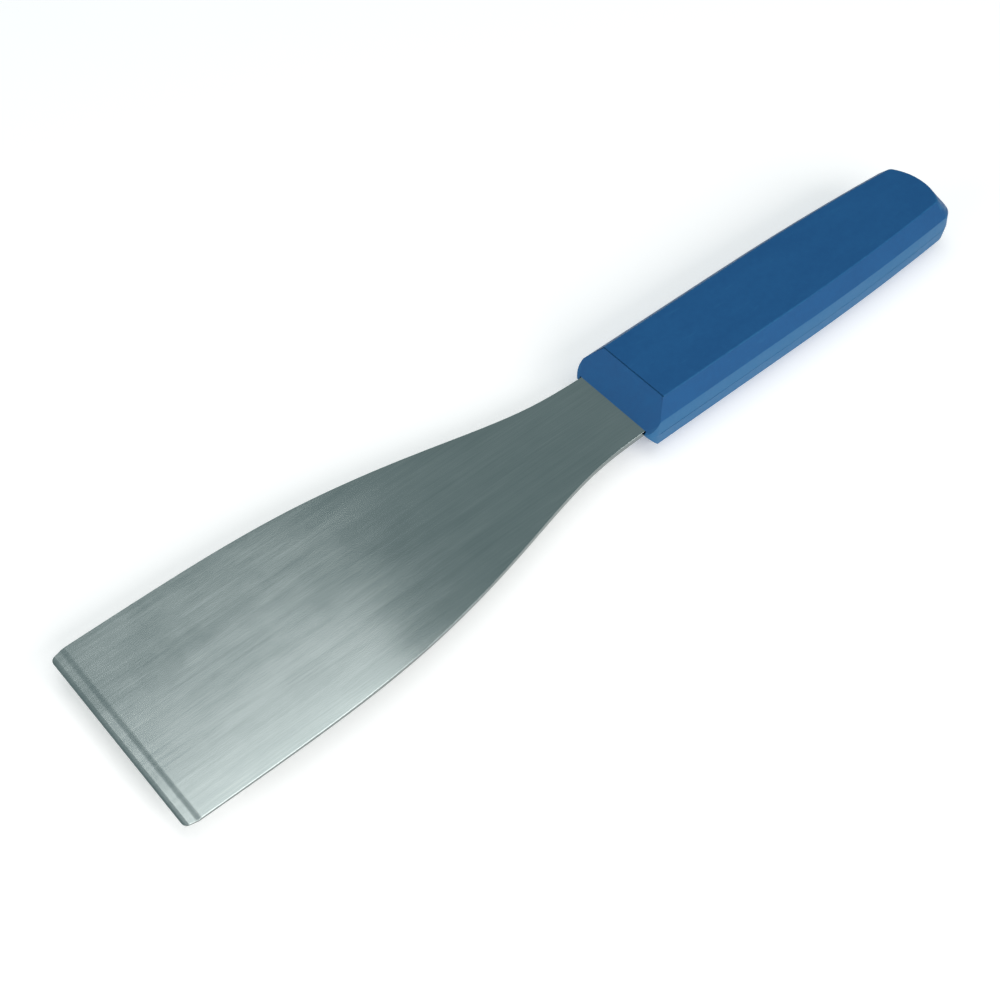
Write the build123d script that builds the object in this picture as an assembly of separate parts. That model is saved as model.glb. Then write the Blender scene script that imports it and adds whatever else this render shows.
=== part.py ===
from build123d import *
import math
import os

# A flexible putty knife: one taper-ground steel blade, whose tang is clamped between two moulded
# handle shells. Millimetres. X runs from the working edge (-X) to the butt of the handle (+X),
# Z is up, and the origin is under the middle of the knife, level with the underside of the handle.

# Blade, seen from above. "From edge" is measured from the working edge, "from handle" from the
# front of the handle. Widths are full widths.
BLADE_LENGTH = 164.5
EDGE_WIDTH = 60.0
EDGE_CORNER_RADIUS = 1.5
TRIM_LENGTH = 3.6
TRIM_WIDTH = 61.7
TRIM_FLARE = 0.008
BELLY_FROM_EDGE = 32.0
BELLY_WIDTH = 61.9
SHOULDER_FROM_EDGE = 73.0
SHOULDER_WIDTH = 58.1
WAIST_FROM_HANDLE = 50.0
WAIST_WIDTH = 42.7
THROAT_FROM_HANDLE = 17.5
THROAT_WIDTH = 28.6
NECK_WIDTH = 26.5
NECK_SLOPE = 0.025

# Blade, seen from the side: a taper grind, then a thinner lip along the working edge.
EDGE_THICKNESS = 0.9
NECK_THICKNESS = 2.0
LIP_LENGTH = 2.3
LIP_STEP = 0.24
SHOULDER_RUN = 2.9
EDGE_ROLL_RUN = 1.7
EDGE_ROLL_DROP = 0.30

# The blade bends about this line. Its leading side is round about the axis.
FLEX_AXIS_FROM_EDGE = 98.0
FLEX_GAP = 0.05

# Tang, the part of the blade inside the handle.
TANG_LENGTH = 74.0
TANG_WIDTH = 19.0
TANG_SHOULDER_DEPTH = 12.0
TANG_CORNER_RADIUS = 3.0
TANG_HOLE_RADIUS = 3.0
TANG_HOLES_FROM_FRONT = (24.0, 58.0)
TANG_SIDE_CLEARANCE = 0.4
TANG_END_CLEARANCE = 1.0

# Handle, an eight-sided bar with a sloping front and a crowned butt.
HANDLE_LENGTH = 135.5
HANDLE_WIDTH = 32.6
HANDLE_THICKNESS = 19.0
PARALLEL_LENGTH = 61.0
BUTT_WIDTH = 27.6
BUTT_CROWN = 3.4
BUTT_CORNER_RADIUS = 6.0
SIDE_HEIGHT = 9.2
SIDE_DRAFT = 5.0
BEVEL_WIDTH = 3.65
FRONT_SLOPE = 51.0
FRONT_CORNER_RADIUS = 3.5
SOFT_EDGE = 0.7
WITNESS_WIDTH = 0.45
WITNESS_DEPTH = 0.5
SEAM_HEIGHT = 0.08
SEAM_DEPTH = 0.2

# Handle, inside.
WALL = 2.4
FRONT_BLOCK = 14.0
RIB_THICKNESS = 1.8
RIB_PITCH = 17.0
RIM_TONGUE_INSET = 0.9
RIM_TONGUE_WIDTH = 0.7
RIM_TONGUE_HEIGHT = 0.8
RIM_CLEARANCE = 0.06
PEG_CLEARANCE = 0.08
PEG_REACH = 4.5
BOSS_WALL = 1.8
BUTT_PEG_FROM_BUTT = 16.0
BUTT_PEG_RADIUS = 2.0

# Places that follow from the sizes above.
OVERALL_LENGTH = BLADE_LENGTH + HANDLE_LENGTH
EDGE_X = -OVERALL_LENGTH / 2
FRONT_X = EDGE_X + BLADE_LENGTH
BUTT_X = FRONT_X + HANDLE_LENGTH
HALF_THICKNESS = HANDLE_THICKNESS / 2
MID_Z = HALF_THICKNESS
FLEX_X = EDGE_X + FLEX_AXIS_FROM_EDGE
DRAFT_INSET = SIDE_HEIGHT / 2 * math.tan(math.radians(SIDE_DRAFT))
TOP_INSET = DRAFT_INSET + BEVEL_WIDTH
SLOPE_RUN = HALF_THICKNESS / math.tan(math.radians(FRONT_SLOPE))
SLOPE_RISE = math.tan(math.radians(FRONT_SLOPE))
SHARPEST_CORNER = 0.8
TINY = 0.01
FAR = 4 * OVERALL_LENGTH
ON_SEAM = (Align.CENTER, Align.CENTER, Align.MIN)


def blade_half_thickness(x):
    along = (x - EDGE_X) / BLADE_LENGTH
    return (EDGE_THICKNESS + (NECK_THICKNESS - EDGE_THICKNESS) * min(along, 1.0)) / 2


def blade_plan():
    """The blade and its tang from above, as a tall prism."""
    trim_end = (EDGE_X + TRIM_LENGTH, TRIM_WIDTH / 2)
    trim = Line((EDGE_X, EDGE_WIDTH / 2), trim_end)
    side = Spline(
        trim_end,
        (EDGE_X + BELLY_FROM_EDGE, BELLY_WIDTH / 2),
        (EDGE_X + SHOULDER_FROM_EDGE, SHOULDER_WIDTH / 2),
        (FRONT_X - WAIST_FROM_HANDLE, WAIST_WIDTH / 2),
        (FRONT_X - THROAT_FROM_HANDLE, THROAT_WIDTH / 2),
        (FRONT_X, NECK_WIDTH / 2),
        tangents=[(1, TRIM_FLARE), (1, -NECK_SLOPE)],
    )
    shoulder_x = FRONT_X + TANG_SHOULDER_DEPTH
    tang = Polyline(
        (FRONT_X, NECK_WIDTH / 2),
        (shoulder_x, NECK_WIDTH / 2),
        (shoulder_x, TANG_WIDTH / 2),
        (FRONT_X + TANG_LENGTH, TANG_WIDTH / 2),
        (FRONT_X + TANG_LENGTH, 0),
    )
    edge = Line((EDGE_X, 0), (EDGE_X, EDGE_WIDTH / 2))
    closing = Line((FRONT_X + TANG_LENGTH, 0), (EDGE_X, 0))
    half = make_face(edge + trim + side + tang + closing)
    plan = half + mirror(half, about=Plane.XZ)
    prism = extrude(plan, amount=HANDLE_THICKNESS)
    upright = prism.edges().filter_by(Axis.Z).group_by(Axis.X)
    prism = fillet(upright[0], EDGE_CORNER_RADIUS)
    upright = prism.edges().filter_by(Axis.Z).group_by(Axis.X)
    return fillet(upright[-1], TANG_CORNER_RADIUS)


def side_slab(*lines):
    """A closed outline drawn in X and Z, run right across the blade."""
    face = make_face(Wire(list(lines)))
    return extrude(face, amount=EDGE_WIDTH, both=True, dir=(0, 1, 0))


def xz(x, z):
    return (x, 0, MID_Z + z)


def flexible_blade():
    """The part of the blade in front of the flex line, with its lip and its round rear end."""
    lip_back = EDGE_X + LIP_LENGTH
    ground_end = lip_back + SHOULDER_RUN
    roll_back = EDGE_X + EDGE_ROLL_RUN
    under = EDGE_THICKNESS / 2
    over = blade_half_thickness(ground_end)
    lip = over - LIP_STEP
    mid_step = (lip_back + ground_end) / 2
    rear = blade_half_thickness(FLEX_X)
    slab = side_slab(
        Line(xz(FLEX_X, rear), xz(ground_end, over)),
        Bezier(xz(ground_end, over), xz(mid_step, over), xz(mid_step, lip), xz(lip_back, lip)),
        Line(xz(lip_back, lip), xz(roll_back, lip)),
        TangentArc(xz(roll_back, lip), xz(EDGE_X, lip - EDGE_ROLL_DROP), tangent=(-1, 0, 0)),
        Line(xz(EDGE_X, lip - EDGE_ROLL_DROP), xz(EDGE_X, -under)),
        Line(xz(EDGE_X, -under), xz(FLEX_X, -rear)),
        ThreePointArc(xz(FLEX_X, -rear), xz(FLEX_X + rear, 0), xz(FLEX_X, rear)),
    )
    return blade_plan() & slab


def blade_shank():
    """The stiff rear of the blade: the neck, and the tang with its two holes."""
    front = FLEX_X + blade_half_thickness(FLEX_X) + FLEX_GAP
    start = blade_half_thickness(front)
    neck = NECK_THICKNESS / 2
    rear = FRONT_X + TANG_LENGTH
    slab = side_slab(
        Line(xz(front, start), xz(FRONT_X, neck)),
        Line(xz(FRONT_X, neck), xz(rear, neck)),
        Line(xz(rear, neck), xz(rear, -neck)),
        Line(xz(rear, -neck), xz(FRONT_X, -neck)),
        Line(xz(FRONT_X, -neck), xz(front, -start)),
        Line(xz(front, -start), xz(front, start)),
    )
    shank = blade_plan() & slab
    for from_front in TANG_HOLES_FROM_FRONT:
        hole = Pos(FRONT_X + from_front, 0, MID_Z) * Cylinder(TANG_HOLE_RADIUS, HANDLE_THICKNESS)
        shank -= hole
    return shank


def handle_outline(inset, height):
    """The handle's outline from above, moved in by inset, at a height over the blade's mid-plane."""
    half_width = HANDLE_WIDTH / 2 - inset
    half_butt = BUTT_WIDTH / 2 - inset
    taper_x = FRONT_X + PARALLEL_LENGTH
    end_x = BUTT_X - inset
    corner_x = end_x - BUTT_CROWN
    side = Line((FRONT_X, half_width), (taper_x, half_width))
    flank = TangentArc((taper_x, half_width), (corner_x, half_butt), tangent=(1, 0))
    crown = ThreePointArc((corner_x, half_butt), (end_x, 0), (corner_x, -half_butt))
    far_flank = mirror(flank, about=Plane.XZ)
    far_side = mirror(side, about=Plane.XZ)
    front = Line((FRONT_X, -half_width), (FRONT_X, half_width))
    face = make_face(side + flank + crown + far_flank + far_side + front)
    columns = face.vertices().group_by(Axis.X)
    face = fillet(columns[-1], max(BUTT_CORNER_RADIUS - inset, SHARPEST_CORNER))
    columns = face.vertices().group_by(Axis.X)
    face = fillet(columns[0], max(FRONT_CORNER_RADIUS - inset, SHARPEST_CORNER / 2))
    return Pos(0, 0, MID_Z + height) * face


def handle_block(inset, top):
    """The upper half of the handle as a solid bar, moved in by inset, and as high as top."""
    waist = SIDE_HEIGHT / 2
    lower = loft(
        [handle_outline(inset, 0), handle_outline(inset + DRAFT_INSET, waist)], ruled=True
    )
    upper = loft(
        [handle_outline(inset + DRAFT_INSET, waist), handle_outline(inset + TOP_INSET, top)],
        ruled=True,
    )
    return lower + upper


def slab_between(x_low, x_high):
    """Everything between two X values."""
    size = x_high - x_low
    return Pos((x_low + x_high) / 2, 0, MID_Z) * Box(size, FAR, FAR)


def edges_at_height(shape, height):
    level = MID_Z + height
    return shape.edges().filter_by_position(Axis.Z, level - TINY, level + TINY)


def edges_on_slope(shape):
    """The straight edges at the two sides of the sloping front."""
    sloping = []
    for edge in shape.edges().filter_by(GeomType.LINE):
        ends = [edge.position_at(share) for share in (0, 1)]
        on_slope = all(abs((p.X - FRONT_X) * SLOPE_RISE - (p.Z - MID_Z)) < TINY for p in ends)
        if on_slope and abs(ends[0].Z - ends[1].Z) > TINY:
            sloping.append(edge)
    return sloping


def handle_bar():
    """The upper half of the handle's outside, its straight edges and its top edge softened."""
    slope_normal = (-math.sin(math.radians(FRONT_SLOPE)), 0, math.cos(math.radians(FRONT_SLOPE)))
    slope = Plane(origin=(FRONT_X, 0, MID_Z), z_dir=slope_normal)
    bar = split(handle_block(0, HALF_THICKNESS), bisect_by=slope, keep=Keep.BOTTOM)
    top_loop = edges_at_height(bar, HALF_THICKNESS).sort_by(Axis.X)[1:]
    side_loop = edges_at_height(bar, SIDE_HEIGHT / 2)
    bar = fillet(list(top_loop) + list(side_loop) + edges_on_slope(bar), SOFT_EDGE)
    witness = Box(WITNESS_WIDTH, HANDLE_WIDTH - 2 * TOP_INSET, 2 * WITNESS_DEPTH)
    bar -= Pos(FRONT_X + SLOPE_RUN + WITNESS_WIDTH / 2, 0, MID_Z + HALF_THICKNESS) * witness
    return bar - seam_notch()


def seam_notch():
    """The shallow step round the rim that leaves a shadow line between the shells."""
    band = extrude(handle_outline(-SEAM_DEPTH, 0), amount=SEAM_HEIGHT)
    band -= extrude(handle_outline(SEAM_DEPTH, 0), amount=SEAM_HEIGHT)
    return band & slab_between(FRONT_X + FRONT_CORNER_RADIUS, BUTT_X + WALL)


def rib_places():
    """Where the cross ribs stand, from the front block to the butt."""
    places = []
    x = FRONT_X + FRONT_BLOCK + RIB_PITCH
    while x < BUTT_X - WALL - RIB_PITCH / 2:
        places.append(x)
        x += RIB_PITCH
    return places


def handle_cavity():
    """The hollow of one half: open behind the front block, crossed by the ribs."""
    inner = handle_block(WALL, HALF_THICKNESS - WALL)
    hollow = inner & slab_between(FRONT_X + FRONT_BLOCK, BUTT_X)
    for x in rib_places():
        hollow -= slab_between(x - RIB_THICKNESS / 2, x + RIB_THICKNESS / 2)
    for x, radius in peg_places():
        hollow -= Pos(x, 0, MID_Z) * Cylinder(radius + BOSS_WALL, HANDLE_THICKNESS)
    return hollow


def peg_places():
    """Each locating peg: its X and its radius. Two pass through the tang, one is behind it."""
    through_tang = TANG_HOLE_RADIUS - PEG_CLEARANCE
    places = [(FRONT_X + from_front, through_tang) for from_front in TANG_HOLES_FROM_FRONT]
    return places + [(BUTT_X - BUTT_PEG_FROM_BUTT, BUTT_PEG_RADIUS)]


def tang_pocket():
    """The space that both shells leave for the neck and the tang."""
    neck_end = FRONT_X + TANG_SHOULDER_DEPTH + TANG_END_CLEARANCE
    tang_end = FRONT_X + TANG_LENGTH + TANG_END_CLEARANCE
    neck_width = NECK_WIDTH + 2 * TANG_SIDE_CLEARANCE
    tang_width = TANG_WIDTH + 2 * TANG_SIDE_CLEARANCE
    mouth = 2 * SLOPE_RUN
    neck = Pos((neck_end + FRONT_X - mouth) / 2, 0, MID_Z) * Box(
        neck_end - FRONT_X + mouth, neck_width, NECK_THICKNESS
    )
    tang = Pos((tang_end + FRONT_X) / 2, 0, MID_Z) * Box(
        tang_end - FRONT_X, tang_width, NECK_THICKNESS
    )
    return neck + tang


def rim_ring(spare):
    """The band along the seam, round the sides and the butt, where tongue and groove meet."""
    outer = handle_outline(RIM_TONGUE_INSET - spare, 0)
    inner = handle_outline(RIM_TONGUE_INSET + RIM_TONGUE_WIDTH + spare, 0)
    ring = extrude(outer, amount=RIM_TONGUE_HEIGHT + spare) - extrude(inner, amount=FAR)
    return ring & slab_between(FRONT_X + FRONT_BLOCK - spare, BUTT_X)


def upper_handle_shell():
    shell = handle_bar() - handle_cavity() - tang_pocket() - rim_ring(RIM_CLEARANCE)
    for x, radius in peg_places():
        depth = PEG_REACH + RIM_CLEARANCE
        socket = Cylinder(radius + PEG_CLEARANCE, depth, align=ON_SEAM)
        shell -= Pos(x, 0, MID_Z) * socket
    return shell


def lower_handle_shell():
    seam = Plane(origin=(0, 0, MID_Z), z_dir=(0, 0, 1))
    shell = mirror(handle_bar() - handle_cavity(), about=seam) - tang_pocket()
    shell += rim_ring(0)
    for x, radius in peg_places():
        height = PEG_REACH + HALF_THICKNESS - WALL
        peg = Cylinder(radius, height, align=ON_SEAM)
        shell += Pos(x, 0, MID_Z + PEG_REACH - height) * peg
    return shell


os.makedirs("parts", exist_ok=True)
subparts = {
    "flexible_blade": flexible_blade,
    "blade_shank": blade_shank,
    "upper_handle_shell": upper_handle_shell,
    "lower_handle_shell": lower_handle_shell,
}
for name, build in subparts.items():
    export_step(build(), f"parts/{name}.step")
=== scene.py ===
import bmesh
import bpy
import math
import numpy as np
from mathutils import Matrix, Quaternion, Vector


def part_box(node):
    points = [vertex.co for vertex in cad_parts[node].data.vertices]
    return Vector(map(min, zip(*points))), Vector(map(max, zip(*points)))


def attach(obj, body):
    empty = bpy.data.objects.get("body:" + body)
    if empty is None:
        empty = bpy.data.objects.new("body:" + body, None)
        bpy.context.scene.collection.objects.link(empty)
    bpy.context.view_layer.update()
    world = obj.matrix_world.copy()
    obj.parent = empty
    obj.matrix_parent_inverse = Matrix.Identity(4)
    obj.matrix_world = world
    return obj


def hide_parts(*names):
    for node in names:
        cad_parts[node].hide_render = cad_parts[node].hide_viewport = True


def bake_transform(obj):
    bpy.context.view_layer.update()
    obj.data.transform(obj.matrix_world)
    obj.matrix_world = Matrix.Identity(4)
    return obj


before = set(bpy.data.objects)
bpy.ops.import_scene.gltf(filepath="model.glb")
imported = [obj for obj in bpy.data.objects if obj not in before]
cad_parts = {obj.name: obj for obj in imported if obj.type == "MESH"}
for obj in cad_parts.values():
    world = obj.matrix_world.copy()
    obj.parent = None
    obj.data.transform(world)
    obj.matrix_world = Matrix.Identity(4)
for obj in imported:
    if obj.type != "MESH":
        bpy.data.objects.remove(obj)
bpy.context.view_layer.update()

# ---------------------------------------------------------------------------------------------
# Sizes in metres. The knife lies along X: working edge at -X, underside of the handle at Z = 0.
# ---------------------------------------------------------------------------------------------
MM = 0.001
BLADE_LOW, BLADE_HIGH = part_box("flexible_blade")
SHANK_LOW, SHANK_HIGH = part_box("blade_shank")
SHELL_LOW, SHELL_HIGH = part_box("upper_handle_shell")
MID_Z = (SHANK_LOW.z + SHANK_HIGH.z) / 2
EDGE_X = BLADE_LOW.x
TANG_END_X = SHANK_HIGH.x
TANG_LENGTH = 74 * MM
FRONT_X = TANG_END_X - TANG_LENGTH

EDGE_THICKNESS = 0.9 * MM
NECK_THICKNESS = SHANK_HIGH.z - SHANK_LOW.z
LIP_LENGTH = 2.3 * MM
LIP_STEP = 0.24 * MM
SHOULDER_RUN = 2.9 * MM
EDGE_ROLL_RUN = 1.7 * MM
EDGE_ROLL_DROP = 0.30 * MM
CORNER_RUN = 1.5 * MM
LIP_ZONE = 7.0 * MM
SIDE_ROUND = 0.14 * MM
TANG_SHOULDER_DEPTH = 12.0 * MM
TANG_WIDTH = 19.0 * MM
TANG_CORNER_RADIUS = 3.0 * MM
TANG_HOLE_RADIUS = 3.0 * MM
TANG_HOLES_FROM_FRONT = (24.0 * MM, 58.0 * MM)
SUPPORT_GAP = 0.12 * MM
LIP_STATION_STEP = 0.1 * MM
FACE_STATION_STEP = 1.2 * MM
TANG_STATION_STEP = 3 * MM
ROUND_CORNER_STATIONS = 9
BLADE_SHARP_ANGLE = 40
UPRIGHT_LIMIT = 0.3
SIDEWAYS_LIMIT = 0.04


# ---------------------------------------------------------------------------------------------
# Small helpers
# ---------------------------------------------------------------------------------------------
def new_object(name, mesh):
    obj = bpy.data.objects.new(name, mesh)
    bpy.context.scene.collection.objects.link(obj)
    return obj


def aim(obj, place, target, roll_degrees=0.0):
    """Stands obj at place, its -Z towards target, turned about its own line of sight."""
    sight = (Vector(target) - Vector(place)).normalized()
    turn = sight.to_track_quat("-Z", "Y") @ Quaternion((0, 0, 1), math.radians(roll_degrees))
    obj.location = place
    obj.rotation_mode = "QUATERNION"
    obj.rotation_quaternion = turn


def bake_modifiers(obj):
    """Turns the object with its modifiers into a plain mesh and takes the modifiers off."""
    view = bpy.context.evaluated_depsgraph_get()
    mesh = bpy.data.meshes.new_from_object(obj.evaluated_get(view))
    mesh.name = obj.name
    obj.modifiers.clear()
    obj.data = mesh


# ---------------------------------------------------------------------------------------------
# Camera, lights and floor
# ---------------------------------------------------------------------------------------------
CAMERA_PLACE = (-0.20357, -0.20352, 0.35448)
CAMERA_TARGET = (-0.03090, -0.00477, 0.00950)
CAMERA_ROLL = 0.45
CAMERA_LENS = 57.62
SENSOR_WIDTH = 36.0

WORLD_COLOUR = (0.75, 0.98, 1.02)
WORLD_STRENGTH = 0.28
OVERHEAD_LOW = (-0.19, -0.75)
OVERHEAD_HIGH = (0.250, 0.450)
OVERHEAD_HEIGHT = 1.0
OVERHEAD_RADIANCE = 2.15
FRONT_BOX_PLACE = (0.05, -1.30, 0.80)
FRONT_BOX_SIZE = (1.8, 0.8)
FRONT_BOX_RADIANCE = 3.2
END_BOX_PLACE = (-1.40, 0.15, 0.50)
END_BOX_SIZE = (1.4, 0.6)
END_BOX_RADIANCE = 2.6
SKIRT_LOW_X = -0.50
SKIRT_RADIANCE = 0.48
FLOOR_HALF = 3.0
FLOOR_COLOUR = (0.97, 0.935, 0.925)
FLOOR_GLOW = 0.24


def make_camera():
    data = bpy.data.cameras.new("camera")
    data.lens = CAMERA_LENS
    data.sensor_width = SENSOR_WIDTH
    data.clip_start = 0.01
    camera = new_object("camera", data)
    aim(camera, CAMERA_PLACE, CAMERA_TARGET, CAMERA_ROLL)
    bpy.context.scene.camera = camera


def soft_box(name, place, target, size, radiance):
    """A rectangular light whose face is equally bright from every side."""
    data = bpy.data.lights.new(name, "AREA")
    data.shape = "RECTANGLE"
    data.size, data.size_y = size
    data.energy = radiance * math.pi * size[0] * size[1]
    light = new_object(name, data)
    aim(light, place, target)


def make_lights():
    """Overhead a box that the blade mirrors and its dimmer skirt, then a front and an end box."""
    middle = [(low + high) / 2 for low, high in zip(OVERHEAD_LOW, OVERHEAD_HIGH)]
    size = [high - low for low, high in zip(OVERHEAD_LOW, OVERHEAD_HIGH)]
    place = (*middle, OVERHEAD_HEIGHT)
    soft_box("overhead_soft_box", place, (*middle, 0), size, OVERHEAD_RADIANCE)
    skirt_place = ((SKIRT_LOW_X + OVERHEAD_LOW[0]) / 2, middle[1], OVERHEAD_HEIGHT)
    skirt_size = (OVERHEAD_LOW[0] - SKIRT_LOW_X, size[1])
    soft_box("overhead_skirt", skirt_place, (*skirt_place[:2], 0), skirt_size, SKIRT_RADIANCE)
    soft_box("front_soft_box", FRONT_BOX_PLACE, (0, 0, 0), FRONT_BOX_SIZE, FRONT_BOX_RADIANCE)
    soft_box("end_soft_box", END_BOX_PLACE, (0, 0, 0), END_BOX_SIZE, END_BOX_RADIANCE)


def make_world():
    world = bpy.data.worlds.new("studio")
    world.use_nodes = True
    background = world.node_tree.nodes["Background"]
    background.inputs["Color"].default_value = (*WORLD_COLOUR, 1)
    background.inputs["Strength"].default_value = WORLD_STRENGTH
    bpy.context.scene.world = world


def make_floor():
    mesh = bpy.data.meshes.new("floor")
    corners = [(x, y, 0) for x, y in ((-1, -1), (1, -1), (1, 1), (-1, 1))]
    mesh.from_pydata([(x * FLOOR_HALF, y * FLOOR_HALF, z) for x, y, z in corners], [], [range(4)])
    floor = new_object("floor", mesh)
    material = bpy.data.materials.new("pale_floor")
    material.use_nodes = True
    shader = material.node_tree.nodes["Principled BSDF"]
    shader.inputs["Base Color"].default_value = (*FLOOR_COLOUR, 1)
    shader.inputs["Roughness"].default_value = 0.9
    shader.inputs["Specular IOR Level"].default_value = 0.0
    shader.inputs["Emission Color"].default_value = (1, 1, 1, 1)
    shader.inputs["Emission Strength"].default_value = FLOOR_GLOW
    mesh.materials.append(material)


# ---------------------------------------------------------------------------------------------
# Node trees
# ---------------------------------------------------------------------------------------------
class Nodes:
    """Short ways to add and join the nodes of one tree."""

    def __init__(self, tree):
        self.tree = tree

    def feed(self, socket, value):
        if isinstance(value, bpy.types.NodeSocket):
            self.tree.links.new(value, socket)
        else:
            socket.default_value = value

    def add(self, kind, settings=None, **inputs):
        """Adds a node; inputs are given by socket name, with _ for a space."""
        node = self.tree.nodes.new(kind)
        for key, value in (settings or {}).items():
            setattr(node, key, value)
        for key, value in inputs.items():
            self.feed(node.inputs[key.replace("_", " ")], value)
        return node

    def math(self, operation, *values):
        node = self.add("ShaderNodeMath", {"operation": operation})
        for socket, value in zip(node.inputs, values):
            self.feed(socket, value)
        return node.outputs[0]

    def ramp(self, value, low, high, out_low=0.0, out_high=1.0):
        """Maps value from low..high to out_low..out_high, smoothly and clamped."""
        node = self.add("ShaderNodeMapRange", {"interpolation_type": "SMOOTHSTEP"})
        for socket, number in zip(node.inputs, (value, low, high, out_low, out_high)):
            self.feed(socket, number)
        return node.outputs[0]

    def mix(self, share, first, second):
        """Mixes two colours."""
        node = self.add("ShaderNodeMix", {"data_type": "RGBA"})
        self.feed(node.inputs[0], share)
        for socket, colour in zip(node.inputs[6:8], (first, second)):
            self.feed(socket, colour if isinstance(colour, bpy.types.NodeSocket) else (*colour, 1))
        return node.outputs[2]


def node_group(name, inputs, outputs):
    """An empty shader group; inputs map a name to its default, outputs are names of values."""
    group = bpy.data.node_groups.new(name, "ShaderNodeTree")
    for label, default in inputs.items():
        kind = "NodeSocketVector" if isinstance(default, tuple) else "NodeSocketFloat"
        socket = group.interface.new_socket(label, in_out="INPUT", socket_type=kind)
        socket.default_value = default
    for label in outputs:
        group.interface.new_socket(label, in_out="OUTPUT", socket_type="NodeSocketFloat")
    n = Nodes(group)
    return group, n, n.add("NodeGroupInput").outputs, n.add("NodeGroupOutput").inputs


def stretched_noise_group():
    """Noise stretched along the axes: per-metre frequencies in, height in 0..1 and about 0 out."""
    group, n, given, out = node_group(
        "stretched_noise",
        {"Place": (0.0, 0.0, 0.0), "Per Metre": (1.0, 1.0, 1.0), "Detail": 3.0},
        ("Height", "Centred"),
    )
    scaled = n.add("ShaderNodeVectorMath", {"operation": "MULTIPLY"})
    n.feed(scaled.inputs[0], given["Place"])
    n.feed(scaled.inputs[1], given["Per Metre"])
    noise = n.add("ShaderNodeTexNoise", Scale=1.0, Roughness=0.6, Detail=given["Detail"])
    n.feed(noise.inputs["Vector"], scaled.outputs[0])
    n.feed(out["Height"], noise.outputs[0])
    n.feed(out["Centred"], n.math("SUBTRACT", noise.outputs[0], 0.5))
    return group


def edge_wear_and_highlight_group():
    """Edges painted lighter, partly wear and partly painted highlight: the mesh's own edge mask,
    broken up by noise.
    """
    group, n, given, out = node_group(
        "edge_wear_and_highlight", {"Edge": 0.0, "Place": (0.0, 0.0, 0.0), "Per Metre": 300.0}, ("Mask",)
    )
    noise = n.add("ShaderNodeTexNoise", Scale=given["Per Metre"], Detail=4.0)
    n.feed(noise.inputs["Vector"], given["Place"])
    broken = n.ramp(noise.outputs[0], 0.32, 0.62, 0.35, 1.0)
    n.feed(out["Mask"], n.math("MULTIPLY", given["Edge"], broken))
    return group


def place_group(n, group, **inputs):
    node = n.add("ShaderNodeGroup", {"node_tree": group})
    for key, value in inputs.items():
        n.feed(node.inputs[key.replace("_", " ")], value)
    return node.outputs


# Mask of rounded edges that are painted lighter: partly wear, partly painted highlight.
EDGE_MASK = "edge_wear_and_highlight_mask"
STEEL_DARK = (0.425, 0.475, 0.465)
STEEL_LIGHT = (0.545, 0.585, 0.57)
# Painted shade: the dark colour given to the blade's upright side walls.
STEEL_PAINTED_SIDE_SHADE = (0.15, 0.18, 0.175)
BLUE = (0.0110, 0.091, 0.243)
BLUE_DEEP = (0.0090, 0.079, 0.221)
BLUE_LIGHT = (0.018, 0.122, 0.275)
# Painted light: the paler blue given to the handle's upright faces.
BLUE_PAINTED_SIDE_LIGHT = (0.026, 0.135, 0.290)
STEEL_ANISOTROPY = 0.85
STEEL_ROUGHNESS = (0.17, 0.21)
STEEL_BUMP_STRENGTH = 0.06
STEEL_BUMP_DEPTH = 0.004 * MM
PLASTIC_SPECULAR = 0.22
PLASTIC_ROUGHNESS = (0.50, 0.60)
PLASTIC_BUMP_STRENGTH = 0.45
PLASTIC_BUMP_DEPTH = 0.03 * MM


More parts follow.
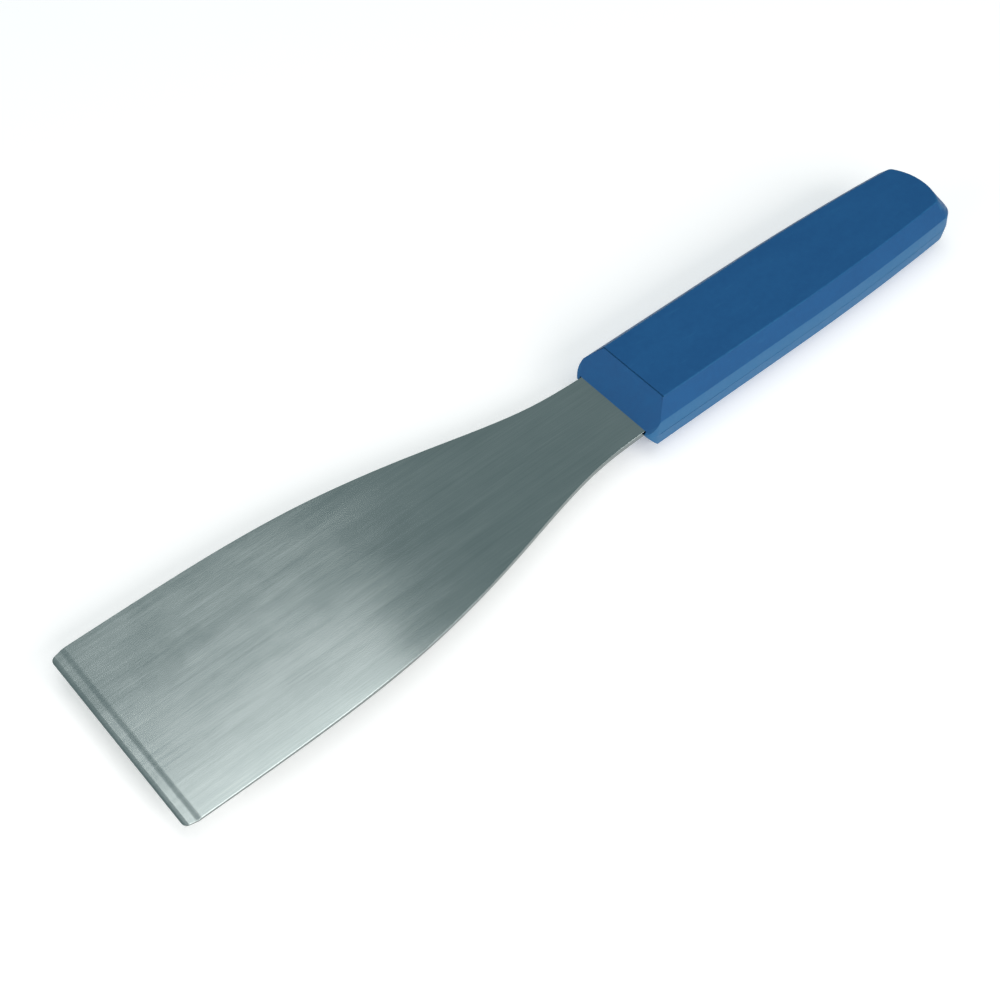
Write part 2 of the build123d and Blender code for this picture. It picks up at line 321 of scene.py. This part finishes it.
def steel_material(stretched_noise, edge_wear_and_highlight):
    """Ground lengthwise: long fine scratches, faint blotches, sides darkened by painted shade,
    edges lightened by wear and painted highlight.
    """
    material = bpy.data.materials.new("ground_blade_steel")
    material.use_nodes = True
    n = Nodes(material.node_tree)
    shader = material.node_tree.nodes["Principled BSDF"]
    shader.inputs["Metallic"].default_value = 1.0
    shader.inputs["Anisotropic"].default_value = STEEL_ANISOTROPY
    coordinates = n.add("ShaderNodeTexCoord").outputs
    place = coordinates["Object"]
    facing = coordinates["Normal"]
    edge = n.add("ShaderNodeAttribute", {"attribute_name": EDGE_MASK}).outputs["Fac"]
    fine = place_group(n, stretched_noise, Place=place, Per_Metre=(60, 2600, 400), Detail=1.0)
    streak = place_group(n, stretched_noise, Place=place, Per_Metre=(38, 950, 100), Detail=2.0)
    broad = place_group(n, stretched_noise, Place=place, Per_Metre=(14, 150, 60), Detail=3.0)
    scratch = place_group(n, stretched_noise, Place=place, Per_Metre=(32, 1700, 200), Detail=1.0)
    blotch = place_group(n, stretched_noise, Place=place, Per_Metre=(75, 95, 95), Detail=5.0)
    wear_and_highlight = place_group(n, edge_wear_and_highlight, Edge=edge, Place=place, Per_Metre=260.0)["Mask"]
    lines = n.math("ADD", streak["Centred"], n.math("MULTIPLY", fine["Centred"], 0.8))
    cloud = n.math("ADD", broad["Centred"], n.math("MULTIPLY", blotch["Centred"], 0.7))
    shade = n.math("ADD", lines, cloud)
    colour = n.mix(n.ramp(shade, -1.15, 1.15), STEEL_DARK, STEEL_LIGHT)
    scored = n.ramp(scratch["Height"], 0.70, 0.80)
    colour = n.mix(n.math("MULTIPLY", scored, 0.35), colour, STEEL_LIGHT)
    # Rounded edges painted lighter: partly wear, partly painted highlight.
    colour = n.mix(n.math("MULTIPLY", wear_and_highlight, 0.5), colour, STEEL_LIGHT)
    # Painted shade: faces that stand upright take the dark side colour.
    upright = n.math("ABSOLUTE", n.add("ShaderNodeSeparateXYZ", Vector=facing).outputs["Z"])
    colour = n.mix(n.ramp(upright, 0.2, 0.6, 0.85, 0.0), colour, STEEL_PAINTED_SIDE_SHADE)
    n.feed(shader.inputs["Base Color"], colour)
    rough = n.ramp(cloud, -0.3, 0.3, *STEEL_ROUGHNESS)
    rough = n.math("ADD", rough, n.math("MULTIPLY", lines, 0.03))
    n.feed(shader.inputs["Roughness"], rough)
    bump = n.add(
        "ShaderNodeBump", Strength=STEEL_BUMP_STRENGTH, Distance=STEEL_BUMP_DEPTH,
        Height=streak["Height"],
    )
    n.feed(shader.inputs["Normal"], bump.outputs[0])
    tangent = n.add("ShaderNodeTangent", {"direction_type": "UV_MAP", "uv_map": "across_blade"})
    n.feed(shader.inputs["Tangent"], tangent.outputs[0])
    return material


def plastic_material(stretched_noise, edge_wear_and_highlight):
    """Moulded blue plastic: fine grain, faint flow marks, upright faces paler by painted light,
    soft edges lighter by wear and painted highlight.
    """
    material = bpy.data.materials.new("moulded_blue_plastic")
    material.use_nodes = True
    n = Nodes(material.node_tree)
    shader = material.node_tree.nodes["Principled BSDF"]
    shader.inputs["Specular IOR Level"].default_value = PLASTIC_SPECULAR
    coordinates = n.add("ShaderNodeTexCoord").outputs
    place = coordinates["Object"]
    facing = coordinates["Normal"]
    edge = n.add("ShaderNodeAttribute", {"attribute_name": EDGE_MASK}).outputs["Fac"]
    grain = place_group(n, stretched_noise, Place=place, Per_Metre=(2300, 2300, 2300), Detail=2.0)
    flow = place_group(n, stretched_noise, Place=place, Per_Metre=(55, 130, 130), Detail=4.0)
    fleck = place_group(n, stretched_noise, Place=place, Per_Metre=(520, 520, 520), Detail=3.0)
    rub = place_group(n, stretched_noise, Place=place, Per_Metre=(110, 700, 700), Detail=5.0)
    wear_and_highlight = place_group(n, edge_wear_and_highlight, Edge=edge, Place=place, Per_Metre=420.0)["Mask"]
    shade = n.math("ADD", flow["Centred"], n.math("MULTIPLY", fleck["Centred"], 0.75))
    colour = n.mix(n.ramp(shade, -0.32, 0.32), BLUE_DEEP, BLUE)
    # Painted light: faces that stand upright take a paler blue.
    upright = n.math("ABSOLUTE", n.add("ShaderNodeSeparateXYZ", Vector=facing).outputs["Z"])
    colour = n.mix(n.ramp(upright, 0.15, 0.45, 1.0, 0.0), colour, BLUE_PAINTED_SIDE_LIGHT)
    scuffed = n.ramp(rub["Height"], 0.60, 0.74)
    colour = n.mix(n.math("MULTIPLY", scuffed, 0.30), colour, BLUE_LIGHT)
    # Edges painted lighter: partly wear, partly painted highlight.
    colour = n.mix(n.math("MULTIPLY", wear_and_highlight, 0.75), colour, BLUE_LIGHT)
    n.feed(shader.inputs["Base Color"], colour)
    rough = n.ramp(shade, -0.3, 0.3, *PLASTIC_ROUGHNESS)
    rough = n.math("SUBTRACT", rough, n.math("MULTIPLY", wear_and_highlight, 0.12))
    n.feed(shader.inputs["Roughness"], rough)
    height = n.math("ADD", grain["Height"], n.math("MULTIPLY", fleck["Height"], 1.2))
    bump = n.add(
        "ShaderNodeBump", Strength=PLASTIC_BUMP_STRENGTH, Distance=PLASTIC_BUMP_DEPTH, Height=height
    )
    n.feed(shader.inputs["Normal"], bump.outputs[0])
    return material


# ---------------------------------------------------------------------------------------------
# Blade: one continuous sheet with its tang
# ---------------------------------------------------------------------------------------------
def outline_from_frame():
    """X and half-width along the blade's side, read from the two CAD pieces of the blade."""
    half_widths = {}
    for node in ("flexible_blade", "blade_shank"):
        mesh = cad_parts[node].data
        for face in mesh.polygons:
            upright = abs(face.normal.z) < UPRIGHT_LIMIT and face.normal.y > SIDEWAYS_LIMIT
            for index in face.vertices if upright else ():
                place = mesh.vertices[index].co
                half_widths[round(place.x, 6)] = place.y
    xs = sorted(x for x in half_widths if x < FRONT_X + TANG_SHOULDER_DEPTH)
    return np.array(xs), np.array([half_widths[x] for x in xs])


def blade_stations():
    """X of each cross-section, close together where the outline or the surface turns."""
    turn = np.linspace(0, math.pi / 2, ROUND_CORNER_STATIONS)
    corner = EDGE_X + CORNER_RUN * (1 - np.cos(turn))
    lip = np.arange(EDGE_X + CORNER_RUN, EDGE_X + LIP_ZONE, LIP_STATION_STEP)
    face_end = FRONT_X + TANG_SHOULDER_DEPTH - LIP_STATION_STEP
    face = np.arange(EDGE_X + LIP_ZONE, face_end, FACE_STATION_STEP)
    return np.unique(np.concatenate([corner, lip[1:], face]))


def tang_stations():
    """X and half-width of the tang's cross-sections, with its two round rear corners."""
    start = FRONT_X + TANG_SHOULDER_DEPTH
    corner_x = TANG_END_X - TANG_CORNER_RADIUS
    straight = [(x, TANG_WIDTH / 2) for x in np.arange(start, corner_x, TANG_STATION_STEP)]
    turn = np.linspace(0, math.pi / 2, ROUND_CORNER_STATIONS)
    flat = TANG_WIDTH / 2 - TANG_CORNER_RADIUS
    run = TANG_CORNER_RADIUS * np.sin(turn)
    return straight + list(zip(corner_x + run, flat + TANG_CORNER_RADIUS * np.cos(turn)))


def smooth_step(t):
    t = np.clip(t, 0, 1)
    return t * t * (3 - 2 * t)


def half_thickness(x):
    along = min((x - EDGE_X) / (FRONT_X - EDGE_X), 1.0)
    return (EDGE_THICKNESS + (NECK_THICKNESS - EDGE_THICKNESS) * along) / 2


def top_height(x):
    """Height of the blade's top face over its middle plane."""
    in_from_edge = x - EDGE_X
    step = LIP_STEP * (1 - smooth_step((in_from_edge - LIP_LENGTH) / SHOULDER_RUN))
    roll = 0.0
    if in_from_edge < EDGE_ROLL_RUN:
        radius = (EDGE_ROLL_RUN**2 + EDGE_ROLL_DROP**2) / (2 * EDGE_ROLL_DROP)
        roll = radius - math.sqrt(radius**2 - (EDGE_ROLL_RUN - in_from_edge) ** 2)
    return half_thickness(x) - step - roll


def make_blade(material):
    xs, widths = outline_from_frame()
    plan = [(x, float(np.interp(x, xs, widths))) for x in blade_stations()]
    verts = []
    mask = []
    loops = 0
    for x, half_width in plan + tang_stations():
        ring = ring_of(half_width, top_height(x), half_thickness(x))
        verts += [(x, y, MID_Z + z) for y, z, _ in ring]
        mask += [edge for _, _, edge in ring]
        loops += 1
    count = len(verts) // loops
    faces = []
    for i in range(loops - 1):
        for j in range(count):
            k = (j + 1) % count
            faces.append([i * count + j, i * count + k, (i + 1) * count + k, (i + 1) * count + j])
    faces.append(list(range(count)))
    faces.append([(loops - 1) * count + j for j in range(count)])
    mesh = bpy.data.meshes.new("spring_steel_blade")
    mesh.from_pydata(verts, [], faces)
    face_outwards(mesh)
    # Edge mask of the rounded long edges, painted lighter: partly wear, partly painted highlight.
    attribute = mesh.attributes.new(EDGE_MASK, "FLOAT", "POINT")
    attribute.data.foreach_set("value", mask)
    blade = new_object("spring_steel_blade", mesh)
    punch_holes(blade)
    mesh = blade.data
    layer = mesh.uv_layers.new(name="across_blade")
    reach = BLADE_HIGH.y - BLADE_LOW.y + NECK_THICKNESS
    for corner in mesh.loops:
        co = mesh.vertices[corner.vertex_index].co
        across = (co.y - BLADE_LOW.y + co.z) / reach
        layer.data[corner.index].uv = (across, (co.x - EDGE_X) / reach)
    mesh.shade_smooth()
    mesh.set_sharp_from_angle(angle=math.radians(BLADE_SHARP_ANGLE))
    mesh.materials.clear()
    mesh.materials.append(material)
    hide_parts("flexible_blade", "blade_shank")
    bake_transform(blade)


def ring_of(half_width, top, depth, across=41, turns=4):
    """One closed cross-section, as (y, z, edge mask), with its four long corners rounded."""
    r = min(SIDE_ROUND, (top + depth) / 2.5)
    flat = half_width - r
    face = np.linspace(1, -1, across)
    support = 1 - SUPPORT_GAP / flat
    face = np.concatenate([[1, support], face[1:-1], [-support, -1]])
    angles = np.linspace(0, math.pi / 2, turns + 1)[1:]
    bends = [(r * math.sin(a), r * (1 - math.cos(a))) for a in angles]
    upper = [(flat * share, top, 0.0) for share in face]
    near = [(-flat - out, top - drop, 1.0) for out, drop in bends]
    near += [(-flat - out, drop - depth, 1.0) for out, drop in bends[::-1]]
    lower = [(-flat * share, -depth, 0.0) for share in face]
    far = [(flat + out, drop - depth, 1.0) for out, drop in bends]
    far += [(flat + out, top - drop, 1.0) for out, drop in bends[::-1]]
    return upper + near + lower + far


def face_outwards(mesh):
    bm = bmesh.new()
    bm.from_mesh(mesh)
    bmesh.ops.recalc_face_normals(bm, faces=bm.faces)
    bm.to_mesh(mesh)
    bm.free()


def punch_holes(blade):
    """Cuts the two round peg holes through the tang."""
    bm = bmesh.new()
    for from_front in TANG_HOLES_FROM_FRONT:
        made = bmesh.ops.create_cone(
            bm, cap_ends=True, segments=48, radius1=TANG_HOLE_RADIUS, radius2=TANG_HOLE_RADIUS,
            depth=4 * NECK_THICKNESS,
        )
        bmesh.ops.translate(bm, verts=made["verts"], vec=(FRONT_X + from_front, 0, MID_Z))
    punch_mesh = bpy.data.meshes.new("punch")
    bm.to_mesh(punch_mesh)
    bm.free()
    punch = new_object("punch", punch_mesh)
    cut = blade.modifiers.new("holes", "BOOLEAN")
    cut.operation = "DIFFERENCE"
    cut.solver = "EXACT"
    cut.object = punch
    bake_modifiers(blade)
    bpy.data.objects.remove(punch)


# ---------------------------------------------------------------------------------------------
# Handle shells: merged copies of the two CAD shells, with smooth edges and an edge mask
# ---------------------------------------------------------------------------------------------
MERGE_WITHIN = 0.002 * MM
NARROW_FACET = 0.6 * MM
SHARP_ANGLE = 24.0


def facet_width(face):
    """The height of a triangle over its longest side."""
    return 2 * face.calc_area() / max(edge.calc_length() for edge in face.edges)


def make_shell(name, node, material):
    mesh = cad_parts[node].data.copy()
    mesh.name = name
    bm = bmesh.new()
    bm.from_mesh(mesh)
    bmesh.ops.remove_doubles(bm, verts=bm.verts, dist=MERGE_WITHIN)
    bmesh.ops.dissolve_degenerate(bm, edges=bm.edges, dist=MERGE_WITHIN)
    # Fillet vertices form the mask of edges painted lighter: partly wear, partly painted highlight.
    mask = [float(all(facet_width(face) < NARROW_FACET for face in v.link_faces)) for v in bm.verts]
    bm.to_mesh(mesh)
    bm.free()
    attribute = mesh.attributes.new(EDGE_MASK, "FLOAT", "POINT")
    attribute.data.foreach_set("value", mask)
    mesh.shade_smooth()
    mesh.set_sharp_from_angle(angle=math.radians(SHARP_ANGLE))
    mesh.materials.clear()
    mesh.materials.append(material)
    shell = new_object(name, mesh)
    weighted = shell.modifiers.new("flat_faces_stay_flat", "WEIGHTED_NORMAL")
    weighted.keep_sharp = True
    bake_modifiers(shell)
    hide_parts(node)
    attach(shell, "handle")


# ---------------------------------------------------------------------------------------------
# Assembly
# ---------------------------------------------------------------------------------------------
make_camera()
make_world()
make_lights()
make_floor()
stretched_noise = stretched_noise_group()
edge_wear_and_highlight = edge_wear_and_highlight_group()
make_blade(steel_material(stretched_noise, edge_wear_and_highlight))
plastic = plastic_material(stretched_noise, edge_wear_and_highlight)
make_shell("moulded_upper_shell", "upper_handle_shell", plastic)
make_shell("moulded_lower_shell", "lower_handle_shell", plastic)

bpy.context.scene.view_settings.view_transform = "Standard"
